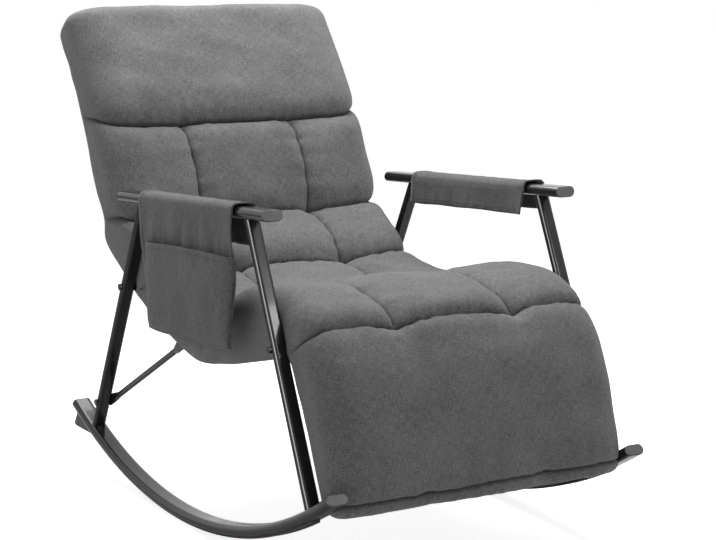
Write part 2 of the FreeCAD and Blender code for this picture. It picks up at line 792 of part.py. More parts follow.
def clear_of_forks(pad, hinge, angle, more):
    """Room in a pad for the forks, pawls and rivets of its hinges."""
    for x in (-rail_x, rail_x):
        width = hinge_width + 2 * pivot_head_height + 2 * (1 + more)
        room = fork_outline(hinge_relief + more, tube_half + 1 + more, fork_length + more, width)
        pad = pad.cut(at_hinge(room, hinge, angle, x))
    return pad


def make_cover(x, side):
    """Fabric wrapped round the armrest, with a short skirt hanging on each side."""
    grow = 2 * (cover_gap + cover_thickness)
    cover = armrest_bar(flat_oval(runner_width + grow, runner_height + grow), x, cover_front, cover_length)
    half = (runner_width + grow) / 2
    for edge in (-half, half - skirt_thickness):
        skirt = Part.makeBox(skirt_thickness, cover_length, skirt_drop, Vector(edge, 0, -skirt_drop))
        skirt.Placement = Placement(side_point(armrest_point(cover_front), x),
                                    Rotation(x_axis, -armrest_slope))
        cover = cover.fuse(skirt)
    gap = 2 * cover_gap
    return cover.cut(armrest_bar(flat_oval(runner_width + gap, runner_height + gap), x)).removeSplitter()


def make_pocket(x, side):
    """Open bag that hangs outside the right armrest: a back cloth, a front cloth and joined edges."""
    inner_face = (runner_width / 2 + cover_gap + cover_thickness) * side
    depth = pocket_depth
    width = pocket_space + 2 * pocket_cloth
    back = Part.makeBox(pocket_cloth, pocket_length, depth - pocket_top)
    bag = Part.makeBox(width, pocket_length, depth - pocket_mouth)
    room = Part.makeBox(pocket_space, pocket_length - 2 * pocket_cloth, depth - pocket_mouth)
    room.translate(Vector(pocket_cloth, pocket_cloth, pocket_cloth))
    pocket = back.fuse(bag).cut(room).removeSplitter()
    if side < 0:
        pocket = pocket.mirror(Vector(0, 0, 0), x_axis)
    pocket.translate(Vector(inner_face, 0, -depth))
    pocket.Placement = Placement(side_point(armrest_point(pocket_front), x),
                                 Rotation(x_axis, -armrest_slope)) * pocket.Placement
    return pocket


def make_hinge_set(hinge, tail_angle, arm_angle, lock_side):
    """The pieces of one pair of ratchet hinges: disc, fork, pivot and pawl with its rivet."""
    mirror = -1
    nose_angle = arm_angle + mirror * pawl_angles()[1]
    made = {}
    for name, side in sides.items():
        x = side * rail_x
        toothed = make_toothed_disc(nose_angle - tail_angle, lock_side)
        toothed = at_hinge(toothed, hinge, tail_angle, x).cut(bolt_hole(front_bolt))
        made[name] = {"disc": toothed,
                      "fork": at_hinge(make_fork(mirror), hinge, arm_angle, x),
                      "pivot": at_hinge(make_pivot(), hinge, arm_angle, x),
                      "pawl": at_hinge(make_pawl(mirror, lock_side), hinge, arm_angle, x),
                      "pawl_rivet": at_hinge(make_pawl_rivet(mirror), hinge, arm_angle, x)}
    return made


def build():
    nodes = {}
    for name, side in sides.items():
        x = side * half_spacing
        nodes["armrest_tube_" + name] = make_armrest(x)
        nodes["armrest_plugs_" + name] = make_armrest_plugs(x)
        nodes["front_leg_" + name] = make_leg(front_leg_axis, x, [front_bolt])
        nodes["rear_leg_" + name] = make_leg(rear_leg_axis, x, [rear_bolt, brace_foot])
        nodes["runner_" + name] = make_runner(x)
        nodes["runner_plugs_" + name] = make_runner_plugs(x)
        nodes["tread_strip_" + name] = make_strip(x)
        nodes["tip_stopper_" + name] = make_stopper(x)
        nodes["seat_rail_" + name] = make_rail(side * rail_x)
        nodes["diagonal_brace_" + name] = flattened_brace(side)
        nodes["armrest_cover_" + name] = make_cover(x, side)
    nodes["side_pocket"] = make_pocket(-half_spacing, -1)
    nodes["bolts"], nodes["nuts"], nodes["spacers"] = make_fasteners()
    nodes["seat_front_tube"] = make_cross_tube(seat_line, seat_cross_places[0])
    nodes["seat_rear_tube"] = make_cross_tube(seat_line, seat_cross_places[1])
    nodes["seat_webbing"] = make_straps(seat_line, seat_strap_places, 1)
    rows = make_seat_rows()
    nodes["seat_pad_front"], nodes["seat_pad_middle"], nodes["seat_pad_rear"] = rows

    back_end = back_line.length
    nodes["back_frame"] = free_end_frame(back_line, fork_length, back_end)
    nodes["back_stay"] = make_cross_tube(back_line, back_stay_place)
    nodes["back_webbing"] = make_straps(back_line, back_strap_places, 1)
    nodes["back_pad"], nodes["head_pad"] = make_back_rows()

    nodes["foot_frame"] = free_end_frame(foot_line, fork_length, foot_length)
    nodes["foot_stay"] = make_cross_tube(foot_line, foot_stay_place)
    nodes["foot_webbing"] = make_straps(foot_line, foot_strap_places, -1)
    nodes["foot_pad"] = make_foot_pad()

    back_set = make_hinge_set(back_hinge, seat_line.end_heading + 180, 90 - back_lean, -1)
    foot_set = make_hinge_set(foot_hinge, -rail_front_slope, 180 + foot_drop, 1)
    for place, pieces in (("back", back_set), ("foot", foot_set)):
        for name in sides:
            for piece in ("disc", "fork", "pawl"):
                nodes[place + "_hinge_" + piece + "_" + name] = pieces[name][piece]
        for piece in ("pivot", "pawl_rivet"):
            pair = [pieces[name][piece] for name in sides]
            nodes[place + "_hinge_" + piece + "s"] = Part.makeCompound(pair)
    return nodes


os.makedirs("parts", exist_ok=True)
for node, shape in build().items():
    shape.exportStep("parts/" + node + ".step")
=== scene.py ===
import json
import math

import bpy
import numpy as np
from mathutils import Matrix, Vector, noise


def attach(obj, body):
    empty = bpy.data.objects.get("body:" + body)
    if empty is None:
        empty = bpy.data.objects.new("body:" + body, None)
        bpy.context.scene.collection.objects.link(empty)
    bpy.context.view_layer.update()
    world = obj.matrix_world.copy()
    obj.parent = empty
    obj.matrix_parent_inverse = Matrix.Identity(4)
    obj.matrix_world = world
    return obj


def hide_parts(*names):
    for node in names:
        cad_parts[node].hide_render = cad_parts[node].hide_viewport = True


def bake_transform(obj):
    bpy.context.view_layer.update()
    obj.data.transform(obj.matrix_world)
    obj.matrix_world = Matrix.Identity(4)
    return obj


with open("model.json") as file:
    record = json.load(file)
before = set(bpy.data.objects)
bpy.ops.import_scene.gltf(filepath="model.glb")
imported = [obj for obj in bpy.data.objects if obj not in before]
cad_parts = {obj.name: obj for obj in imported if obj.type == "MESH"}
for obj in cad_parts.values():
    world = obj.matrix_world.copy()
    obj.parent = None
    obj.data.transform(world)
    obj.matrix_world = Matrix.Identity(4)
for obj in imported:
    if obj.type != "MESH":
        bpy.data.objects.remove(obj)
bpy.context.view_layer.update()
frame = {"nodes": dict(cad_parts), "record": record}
bpy.context.scene.view_settings.view_transform = "Standard"

# Looks of a rocking lounge chair: studio, materials, the sewn cushion, the armrest covers and the pocket.
# Lights, camera and floor are in metres. The cloth is drawn in millimetres, with the part's own axes.
MILLIMETRES = 1000.0                   # in a metre

# The camera, fitted to the photograph
CAMERA_PLACE = (-1.7692, -3.1533, 1.0721)
CAMERA_TURN = (80.161, 0.0, -30.5)     # degrees about X, Y and Z
CAMERA_LENS = 95.68
SENSOR_WIDTH = 36.0
VIEW_DEPTH = 50.0

# The floor and the white round it
FLOOR_REACH = 14.0
FLOOR_DROP = 0.0005                    # keeps the floor clear of the tread strips
FLOOR_WHITE = 0.93
FLOOR_GLOW = 0.8                       # added for the camera alone, so that the floor meets the background
FILL_LIGHT = 0.25                      # of the world on matt surfaces
WHITE = (1.0, 1.0, 1.0, 1.0)

# Soft boxes: name, place, aim, width and height, watts, and whether they light matt surfaces too
LAMPS = [
    ("key", (0.5, -0.45, 1.95), (0, 0, 0.4), (0.9, 0.9), 17.2, True),
    ("top", (0, 0.8, 2.0), (0, -0.25, 0.45), (1.2, 1.2), 34.0, True),
    ("left", (-3.2, -0.4, 1.3), (0, 0, 0.4), (1.6, 1.6), 9.0, True),
    ("gloss_left", (-2.7, -1.6, 1.0), (-0.2, -0.2, 0.4), (1.2, 2.4), 140.0, False),
    ("gloss_right", (1.2, -3.1, 1.1), (-0.2, -0.2, 0.4), (0.8, 2.4), 115.0, False),
]


def add_camera():
    data = bpy.data.cameras.new("camera")
    data.sensor_width = SENSOR_WIDTH
    data.lens = CAMERA_LENS
    data.clip_end = VIEW_DEPTH
    camera = bpy.data.objects.new("camera", data)
    camera.location = CAMERA_PLACE
    camera.rotation_euler = [math.radians(turn) for turn in CAMERA_TURN]
    bpy.context.collection.objects.link(camera)
    bpy.context.scene.camera = camera


def add_lamp(name, place, aim, size, power, lights_matt):
    data = bpy.data.lights.new(name, "AREA")
    data.shape = "RECTANGLE"
    data.size, data.size_y = size
    data.energy = power
    lamp = bpy.data.objects.new(name, data)
    lamp.location = place
    lamp.rotation_euler = (Vector(aim) - Vector(place)).to_track_quat("-Z", "Y").to_euler()
    lamp.visible_camera = False
    lamp.visible_diffuse = lights_matt
    bpy.context.collection.objects.link(lamp)


class Nodes:
    """A short way to lay out a material's nodes."""

    def __init__(self, name):
        self.material = bpy.data.materials.new(name)
        self.material.use_nodes = True
        self.tree = self.material.node_tree
        self.tree.nodes.clear()
        self.output = self.tree.nodes.new("ShaderNodeOutputMaterial")

    def add(self, kind, inputs=None, **settings):
        node = self.tree.nodes.new("ShaderNode" + kind)
        for key, value in settings.items():
            setattr(node, key, value)
        for key, value in (inputs or {}).items():
            if isinstance(value, bpy.types.NodeSocket):
                self.tree.links.new(value, node.inputs[key])
            else:
                node.inputs[key].default_value = value
        return node

    def arithmetic(self, operation, first, second=0.0):
        return self.add("Math", {0: first, 1: second}, operation=operation).outputs[0]

    def mix(self, factor, first, second):
        """A colour between two colours, given as numbers or sockets. The factor is a socket."""
        node = self.add("Mix", data_type="RGBA")
        for place, value in ((0, factor), (6, first), (7, second)):
            if isinstance(value, bpy.types.NodeSocket):
                self.tree.links.new(value, node.inputs[place])
            else:
                node.inputs[place].default_value = (*value, 1.0)
        return node.outputs[2]

    def ramp(self, value, low, high, first=0.0, second=1.0):
        node = self.add("MapRange", {0: value, 1: low, 2: high, 3: first, 4: second})
        return node.outputs[0]

    def noise(self, where, scale, detail=3.0, rough=0.5, squash=(1.0, 1.0, 1.0)):
        stretched = self.add("Mapping", {"Vector": where, "Scale": squash})
        inputs = {"Vector": stretched.outputs[0], "Scale": scale, "Detail": detail, "Roughness": rough}
        return self.add("TexNoise", inputs).outputs[0]

    def bump(self, height, strength, distance):
        node = self.add("Bump", {"Height": height, "Strength": strength, "Distance": distance})
        return node.outputs[0]

    def threads(self, across, turns):
        """Bumps like the threads of a weave, so many turns to the metre."""
        wave = self.arithmetic("SINE", self.arithmetic("MULTIPLY", across, turns * 2 * math.pi))
        return self.arithmetic("ABSOLUTE", wave)

    def finish(self, shader):
        self.tree.links.new(shader.outputs[0], self.output.inputs[0])
        return self.material


def floor_material():
    nodes = Nodes("floor")
    path = nodes.add("LightPath")
    lit = nodes.add("BsdfDiffuse", {"Color": (FLOOR_WHITE, FLOOR_WHITE, FLOOR_WHITE, 1.0)})
    seen = nodes.add("Emission", {"Strength": FLOOR_GLOW})
    both = nodes.add("AddShader", {0: lit.outputs[0], 1: seen.outputs[0]})
    mix = nodes.add("MixShader", {0: path.outputs["Is Camera Ray"], 1: lit.outputs[0], 2: both.outputs[0]})
    return nodes.finish(mix)


def add_floor():
    mesh = bpy.data.meshes.new("floor")
    corners = [(x * FLOOR_REACH, y * FLOOR_REACH, -FLOOR_DROP)
               for x, y in ((-1, -1), (1, -1), (1, 1), (-1, 1))]
    mesh.from_pydata(corners, [], [(0, 1, 2, 3)])
    floor = bpy.data.objects.new("floor", mesh)
    floor.data.materials.append(floor_material())
    bpy.context.collection.objects.link(floor)


def set_world():
    """White to the camera and in reflections, and a weaker fill light for everything matt."""
    world = bpy.data.worlds.new("studio")
    bpy.context.scene.world = world
    world.use_nodes = True
    tree = world.node_tree
    tree.nodes.clear()
    output = tree.nodes.new("ShaderNodeOutputWorld")
    fill = tree.nodes.new("ShaderNodeBackground")
    fill.inputs[0].default_value = WHITE
    fill.inputs[1].default_value = FILL_LIGHT
    white = tree.nodes.new("ShaderNodeBackground")
    white.inputs[0].default_value = WHITE
    white.inputs[1].default_value = 1.0
    path = tree.nodes.new("ShaderNodeLightPath")
    either = tree.nodes.new("ShaderNodeMath")
    either.operation = "MAXIMUM"
    tree.links.new(path.outputs["Is Camera Ray"], either.inputs[0])
    tree.links.new(path.outputs["Is Glossy Ray"], either.inputs[1])
    mix = tree.nodes.new("ShaderNodeMixShader")
    tree.links.new(either.outputs[0], mix.inputs[0])
    tree.links.new(fill.outputs[0], mix.inputs[1])
    tree.links.new(white.outputs[0], mix.inputs[2])
    tree.links.new(mix.outputs[0], output.inputs[0])


# Materials

def gloss_black():
    """Gloss black powder coat: fine orange peel, dust and rubbed places."""
    nodes = Nodes("gloss_black")
    where = nodes.add("TexCoord").outputs["Object"]
    peel = nodes.noise(where, scale=900.0, detail=2.0)
    dust = nodes.noise(where, scale=38.0, detail=5.0, rough=0.65)
    broad = nodes.noise(where, scale=7.0, detail=2.0)
    rough = nodes.ramp(dust, 0.35, 0.75, 0.16, 0.30)
    colour = nodes.mix(nodes.ramp(broad, 0.3, 0.7), (0.010, 0.010, 0.011), (0.018, 0.018, 0.020))
    shader = nodes.add("BsdfPrincipled", {
        "Base Color": colour, "Roughness": rough,
        "Normal": nodes.bump(peel, strength=0.05, distance=0.0004),
        "Specular IOR Level": 0.22, "Coat Weight": 0.38, "Coat Roughness": 0.05, "Coat IOR": 1.4})
    return nodes.finish(shader)


def moulded_plastic(name, dark, light, roughness):
    """Moulded plastic, rubber or thread with a fine grain and scuffs."""
    nodes = Nodes(name)
    where = nodes.add("TexCoord").outputs["Object"]
    grain = nodes.noise(where, scale=1400.0, detail=2.0)
    scuffs = nodes.noise(where, scale=55.0, detail=6.0, rough=0.7, squash=(1.0, 0.35, 1.0))
    shader = nodes.add("BsdfPrincipled", {
        "Base Color": nodes.mix(nodes.ramp(scuffs, 0.45, 0.8), dark, light),
        "Roughness": nodes.ramp(scuffs, 0.3, 0.8, roughness, roughness - 0.14),
        "Normal": nodes.bump(grain, strength=0.25, distance=0.0005)})
    return nodes.finish(shader)


def plated_steel(name, dark, light, roughness):
    """Brushed or plated steel with a grain along the rolled sheet."""
    nodes = Nodes(name)
    where = nodes.add("TexCoord").outputs["Object"]
    grain = nodes.noise(where, scale=240.0, detail=3.0, rough=0.6, squash=(1.0, 0.08, 1.0))
    spots = nodes.noise(where, scale=60.0, detail=4.0)
    shader = nodes.add("BsdfPrincipled", {
        "Base Color": nodes.mix(nodes.ramp(spots, 0.35, 0.7), dark, light),
        "Roughness": nodes.ramp(grain, 0.3, 0.7, roughness - 0.08, roughness + 0.1),
        "Metallic": 1.0, "Normal": nodes.bump(grain, strength=0.12, distance=0.0004)})
    return nodes.finish(shader)


def linen(name, dark, light, shift):
    """Heathered linen-look cloth: pale and dark slubs along both threads, over a plain weave.

    It reads the cloth's own flat coordinates in metres, moved by shift, and is painted near black where
    the mesh marks painted shade in the creases and along the long seams."""
    weave_turns = 520.0
    slub_long, slub_fine = 75.0, 900.0
    # Painted shade: a near-black colour and its strongest share, laid into the creases and along the long
    # seams
    painted_shade_colour, painted_shade_share = (0.012, 0.012, 0.013), 0.8
    nodes = Nodes(name)
    flat = nodes.add("UVMap", uv_map="cloth").outputs[0]
    where = nodes.add("Mapping", {"Vector": flat, "Location": (shift, shift * 1.7, 0.0)}).outputs[0]
    slubs = [
        (0.32, nodes.noise(where, 1.0, detail=4.0, rough=0.6, squash=(slub_fine, slub_long, 1.0))),
        (0.26, nodes.noise(where, 1.0, detail=4.0, rough=0.6, squash=(slub_long, slub_fine, 1.0))),
        (0.30, nodes.noise(where, 1.0, detail=2.0, rough=0.6, squash=(1500.0, 420.0, 1.0))),
        (0.12, nodes.noise(where, scale=9.0, detail=4.0, rough=0.6)),
    ]
    heather = 0.0
    for share, slub in slubs:
        heather = nodes.arithmetic("ADD", heather, nodes.arithmetic("MULTIPLY", slub, share))
    colour = nodes.mix(nodes.ramp(heather, 0.42, 0.60), dark, light)
    # Painted shade: the mesh marks where the creases and long seams fall dark, and the colour turns near
    # black there
    painted_shade_mask = nodes.add("Attribute", attribute_name="painted_shade").outputs["Fac"]
    colour = nodes.mix(nodes.ramp(painted_shade_mask, 0.1, 1.0, 0.0, painted_shade_share), colour, painted_shade_colour)
    part = nodes.add("SeparateXYZ", {0: where})
    weave = nodes.arithmetic("MULTIPLY", nodes.threads(part.outputs[0], weave_turns),
                             nodes.threads(part.outputs[1], weave_turns))
    height = nodes.arithmetic("ADD", nodes.arithmetic("MULTIPLY", weave, 0.4), heather)
    shader = nodes.add("BsdfPrincipled", {
        "Base Color": colour, "Roughness": 0.92,
        "Normal": nodes.bump(height, strength=0.55, distance=0.0012),
        "Sheen Weight": 0.25, "Sheen Roughness": 0.5, "Specular IOR Level": 0.2})
    return nodes.finish(shader)


def webbing_material():
    """Ribbed woven strap."""
    nodes = Nodes("strap_weave")
    where = nodes.add("TexCoord").outputs["Object"]
    part = nodes.add("SeparateXYZ", {0: where})
    ribs = nodes.threads(part.outputs[0], 300.0)
    lay = nodes.threads(part.outputs[1], 420.0)
    fade = nodes.noise(where, scale=14.0, detail=4.0)
    shader = nodes.add("BsdfPrincipled", {
        "Base Color": nodes.mix(nodes.ramp(fade, 0.3, 0.7), (0.012, 0.012, 0.013), (0.03, 0.03, 0.032)),
        "Roughness": 0.8,
        "Normal": nodes.bump(nodes.arithmetic("MULTIPLY", ribs, lay), strength=0.5, distance=0.0008)})
    return nodes.finish(shader)


def dress_cad_nodes():
    """Each CAD node that stays gets its material by the record's slot."""
    looks = {
        "black_tube": gloss_black(),
        "plug_plastic": moulded_plastic("plug_plastic", (0.022, 0.022, 0.024), (0.05, 0.05, 0.052), 0.62),
        "tread_rubber": moulded_plastic("tread_rubber", (0.015, 0.015, 0.016), (0.035, 0.035, 0.036), 0.8),
        "black_hardware": plated_steel("black_hardware", (0.03, 0.03, 0.032), (0.10, 0.10, 0.105), 0.35),
        "hinge_steel": plated_steel("hinge_steel", (0.30, 0.30, 0.31), (0.45, 0.45, 0.46), 0.32),
        "webbing": webbing_material(),
    }
    slots = {s["node"]: s["material_slot"] for s in frame["record"]["subparts"]}
    for name, node in frame["nodes"].items():
        look = looks.get(slots[name])
        if look:
            for place in node.material_slots:
                place.material = look


# Curves, noise and meshes that the cushion and the covers share

FINE_STEPS = 6000


def through(points, places):
    """Points on a smooth curve through the given ones, at places counted along the list."""
    points = np.array(points, float)
    last = len(points) - 1
    longer = np.vstack([2 * points[0] - points[1], points, 2 * points[-1] - points[-2]])
    low = np.clip(np.floor(places).astype(int), 0, last - 1)
    part = (places - low)[:, None]
    a, b, c, d = (longer[low + i] for i in range(4))
    return 0.5 * (2 * b + (c - a) * part + (2 * a - 5 * b + 4 * c - d) * part ** 2
                  + (3 * b - a - 3 * c + d) * part ** 3)


def run_along(points, axis=0):
    """The distance covered along rows of points, from 0 at their start."""
    steps = np.linalg.norm(np.diff(points, axis=axis), axis=-1)
    covered = np.cumsum(steps, axis=axis)
    start = np.zeros_like(np.take(covered, [0], axis=axis))
    return np.concatenate([start, covered], axis=axis)


def close_near(low, high, coarse, marks):
    """Places from low to high, spaced coarsely but closer near each mark (place, spacing, reach)."""
    fine = np.linspace(low, high, FINE_STEPS)
    density = np.full_like(fine, 1 / coarse)
    for at, spacing, reach in marks:
        density = np.maximum(density, np.exp(-((fine - at) / reach) ** 2) / spacing)
    total = np.concatenate([[0], np.cumsum((density[1:] + density[:-1]) / 2 * np.diff(fine))])
    return np.interp(np.linspace(0, total[-1], int(total[-1]) + 1), total, fine)


def between(places, pairs):
    """Values read off straight stretches between (place, value) pairs."""
    return np.interp(places, *zip(*pairs))


def rounded(distance, radius, power=2.2):
    """From 0 at an edge to 1 at radius from it. The higher the power, the squarer the edge."""
    part = 1 - np.clip(distance / radius, 0, 1)
    return (1 - part ** power) ** (1 / power)


def fades(distance, reach):
    """From 1 to 0 with distance, in a point like a pinch of cloth."""
    return np.exp(-distance / reach)


def fades_softly(distance, reach):
    """From 1 to 0 with distance, flat at its start."""
    return np.exp(-(distance / reach) ** 2)


def wander(x, y, seed, wide, long):
    """Smooth noise from -1 to 1 at each place, the same each run."""
    flat = zip(np.ravel(x) / wide, np.ravel(y) / long)
    values = [noise.noise(Vector((a + seed, b - seed, 0.37 * seed))) for a, b in flat]
    return np.array(values).reshape(np.shape(x))


def folds(x, y, kind, seed=0.0):
    """Folds of a kind: height, the kind's own seed, and size across and along."""
    height, own_seed, wide, long = kind
    return height * wander(x, y, seed + own_seed, wide, long)


def add_flat_map(mesh, across, along):
    """Cloth coordinates in metres, so that the threads keep their size."""
    index = np.empty(len(mesh.loops), np.int32)
    mesh.loops.foreach_get("vertex_index", index)
    flat = np.stack([across.ravel()[index], along.ravel()[index]], axis=1) / MILLIMETRES
    mesh.uv_layers.new(name="cloth").data.foreach_set("uv", flat.astype(np.float32).ravel())


def link_smooth(name, mesh, material):
    mesh.materials.append(material)
    mesh.polygons.foreach_set("use_smooth", [True] * len(mesh.polygons))
    mesh.update()
    piece = bpy.data.objects.new(name, mesh)
    bpy.context.collection.objects.link(piece)
    return piece


# The cushion

# Its side outline as (y, z), from the head to the foot: a point of the front face, then one of the rear face.
FRONT_AND_REAR = [
    ((489, 954), (577, 889)), ((446, 889), (549, 849)), ((396, 825), (520, 812)), ((354, 768), (491, 771)),
    ((324, 713), (461, 721)),
    ((303, 671), (438, 673)), ((282, 624), (417, 621)), ((261, 579), (391, 570)),
    ((238, 535), (365, 520)),
    ((192, 503), (361, 475)), ((146, 479), (300, 434)),
    ((104, 450), (222, 389)),
    ((56, 430), (140, 361)), ((-6, 418), (50, 331)), ((-66, 421), (-20, 314)),
    ((-112, 427), (-80, 310)),
    ((-190, 448), (-160, 322)), ((-270, 463), (-240, 341)), ((-353, 470), (-310, 359)),
    ((-412, 465), (-360, 371)), ((-452, 455), (-386, 377)),
    ((-484, 438), (-404, 378)),
    ((-512, 408), (-420, 369)), ((-537, 370), (-437, 338)), ((-562, 300), (-464, 291)),
    ((-580, 235), (-491, 233)), ((-590, 192), (-513, 184)), ((-592, 166), (-526, 157)),
    ((-587, 145), (-540, 135)),
]
# Places counted along that list
HEAD_SEAM, BACK_FOLD, PARTING, FRONT_EDGE, FOOT_SEAM = 4, 8, 15, 21, 27
CREASES = {HEAD_SEAM: 28.0, BACK_FOLD: 20.0, 11: 15.0, PARTING: 18.0, FRONT_EDGE: 12.0, FOOT_SEAM: 7.0}
# How far each row swells, from the headrest to the roll under the foot
SWELLS = [5.0, 6.0, 8.0, 8.0, 13.0, 4.0, 2.0]
CREASE_REACH, FOOT_SEAM_REACH = 40.0, 24.0
HEAD_OVERRUN, FOOT_OVERRUN = 60.0, 30.0          # how far the first and the last row would run on

# (place, half the width). It is narrower between the two rear legs and between the two front legs.
HALF_WIDTHS = [
    (0, 301), (7.0, 301), (8.6, 294), (9.6, 288.1), (11.2, 288.1), (12.3, 295), (15.5, 295),
    (17.0, 288.1), (19.0, 288.1), (20.6, 293), (24.0, 297), (28.0, 296),
]
# (place, radius) of the front face's rounding at both sides
SIDE_ROUNDINGS = [(0, 78), (7, 70), (10, 44), (19, 44), (22, 62), (28, 62)]
REAR_ROUNDING_FROM, REAR_ROUNDINGS = 284.0, (3.0, 16.0)   # tight, so that the frame's tubes stay inside
HEAD_CORNER, FOOT_CORNER = 36.0, 26.0            # radius of the outline's corners, seen from the front
HEAD_ROLL, FOOT_ROLL = 46.0, 12.0                # rounding of the two ends, seen from the side
FRONT_POWER, REAR_POWER, FOOT_POWER = 2.0, 2.6, 2.8

# The two long seams that part the rows below the headrest into three columns
COLUMN = 0.41                                    # their place as a share of half the width
COLUMN_SCALE = 288.0                             # turns such shares into millimetres
COLUMN_DEPTH, COLUMN_REACH = 15.0, 42.0
COLUMN_SWELL, COLUMN_HALF = 5.0, 118.0
COLUMN_START = 12.0                              # run over which a long seam starts and ends
FRONT_BOW, FRONT_BOW_REACH = 13.0, 45.0          # the crease at the front edge bows up in each column

# Depth and reach of the dents that the sewing makes
EDGE_BITE, EDGE_BITE_REACH = 0.45, 7.0           # of a crease at the cushion's edge, as a share of its depth
THREAD_DEPTH, THREAD_REACH = 3.0, 3.0            # along each crease
CROSSING_DEPTH, CROSSING_REACH = 13.0, 16.0      # where a crease meets a long seam
FOLD_DEPTH, FOLD_REACH = 16.0, 9.0               # at the edge, where the back folds
CREASE_SHADE, SEAM_SHADE = 3.2, 2.6              # reach of the painted shade along creases and long seams
GATHER_REACH, TUCK_REACH = 28.0, 26.0

# Folds of the cloth: height, seed of the noise, and size across and along
GATHERS = (5.2, 7.7, 17.0, 80.0)                 # at the creases
TUCKS = (4.2, 1.3, 70.0, 19.0)                   # at the long seams
SAGS = (4.5, 5.9, 120.0, 75.0)
RIPPLES = (1.3, 9.2, 34.0, 30.0)
REAR_WAVES = (2.0, 4.4, 90.0, 60.0)
CREASE_DRIFT = (4.0, 3.1, 170.0, 400.0)
SEAM_DRIFT = (0.010, 6.6, 1.0, 60.0)             # a share of half the width


def cushion_grid():
    """The cushion's plain form as rings round it, from the head to the foot.

    Also returned: the place of each ring along the outline's list and its run in millimetres, the run of
    each crease, and for the points of a ring their share of half the width, their side (1 in front, -1
    behind) and how far they stand out from the middle towards the full thickness."""
    front_points, rear_points = zip(*FRONT_AND_REAR)
    fine = np.linspace(0, len(FRONT_AND_REAR) - 1, FINE_STEPS)
    fine_run = run_along(through(front_points, fine))
    marks = {place: float(np.interp(place, fine, fine_run)) for place in CREASES}
    length = float(fine_run[-1])
    near = [(at, 2.2, 14.0) for at in marks.values()] + [(0, 2.0, 30.0), (length, 1.5, 16.0)]
    run = close_near(0, length, coarse=6.5, marks=near)
    places = np.interp(run, fine_run, fine)
    front, rear = through(front_points, places), through(rear_points, places)

    full = between(places, HALF_WIDTHS)
    width = full
    for corner, gap in ((HEAD_CORNER, run), (FOOT_CORNER, length - run)):
        width = width - corner + np.sqrt(corner ** 2 - (corner - np.clip(gap, 0, corner)) ** 2)
    front_marks = [(-1, 0.004, 0.05), (1, 0.004, 0.05), (-COLUMN, 0.009, 0.05), (COLUMN, 0.009, 0.05)]
    rear_marks = [(-1, 0.0035, 0.03), (1, 0.0035, 0.03)]
    front_x = close_near(-1, 1, coarse=0.024, marks=front_marks)
    rear_x = close_near(-1, 1, coarse=0.045, marks=rear_marks)[::-1][1:-1]
    ring_x = np.concatenate([front_x, rear_x])
    side = np.concatenate([np.ones(len(front_x)), -np.ones(len(rear_x))])

    start = 0.4
    ends = rounded(run + start, HEAD_ROLL) * rounded(length - run + start, FOOT_ROLL, FOOT_POWER)
    from_edge = width[:, None] * (1 - np.abs(ring_x))[None, :]
    front_rounding = between(places, SIDE_ROUNDINGS)[:, None]
    rear_rounding = np.clip(full[:, None] - REAR_ROUNDING_FROM, *REAR_ROUNDINGS)
    lift = np.where(side[None, :] > 0, rounded(from_edge, front_rounding, FRONT_POWER),
                    rounded(from_edge, rear_rounding, REAR_POWER))
    lift = lift * ends[:, None]
    x = ring_x[None, :] * width[:, None]
    middle, reach = (front + rear) / 2, (front - rear) / 2
    yz = middle[:, None, :] + side[None, :, None] * lift[:, :, None] * reach[:, None, :]
    grid = np.dstack([x, yz[:, :, 0], yz[:, :, 1]])
    return grid, places, run, marks, ring_x, side, lift


def normals_of(grid):
    """Unit vectors out of the cushion at each point of its rings."""
    around = np.roll(grid, -1, 1) - np.roll(grid, 1, 1)
    down = np.gradient(grid, axis=0)
    out = np.cross(down, around)
    return out / np.maximum(np.linalg.norm(out, axis=2, keepdims=True), 1e-9)


def bowed_run(along, ring_x, front_edge):
    """The run along the cushion, shifted so that the front edge's crease bows up in each column."""
    outer_middle, outer_half = (1 + COLUMN) / 2, (1 - COLUMN) / 2
    in_middle = np.abs(ring_x) < COLUMN
    part = np.where(in_middle, ring_x / COLUMN, (np.abs(ring_x) - outer_middle) / outer_half)
    bow = FRONT_BOW * (1 - np.clip(part, -1, 1) ** 2)[None, :]
    return along + bow * fades_softly(along - front_edge, FRONT_BOW_REACH)


def row_heights(bowed, marks, length):
    """How far the rows stand out: each swells in its middle and rounds down to its two creases."""
    bounds = [(-HEAD_OVERRUN, 0.0, CREASE_REACH)]
    for place in sorted(marks):
        reach = FOOT_SEAM_REACH if place == FOOT_SEAM else CREASE_REACH
        bounds.append((marks[place], CREASES[place], reach))
    bounds.append((length + FOOT_OVERRUN, 0.0, CREASE_REACH))
    row = np.zeros_like(bowed)
    for swell, (low, low_depth, low_reach), (high, high_depth, high_reach) in zip(SWELLS, bounds, bounds[1:]):
        part = np.clip((bowed - low) / (high - low), 0, 1)
        height = swell * (1 - np.abs(2 * part - 1) ** 2)
        height = height + low_depth * (rounded(bowed - low, low_reach) - 1)
        height = height + high_depth * (rounded(high - bowed, high_reach) - 1)
        row = np.where((bowed >= low) & (bowed < high), height, row)
    return row


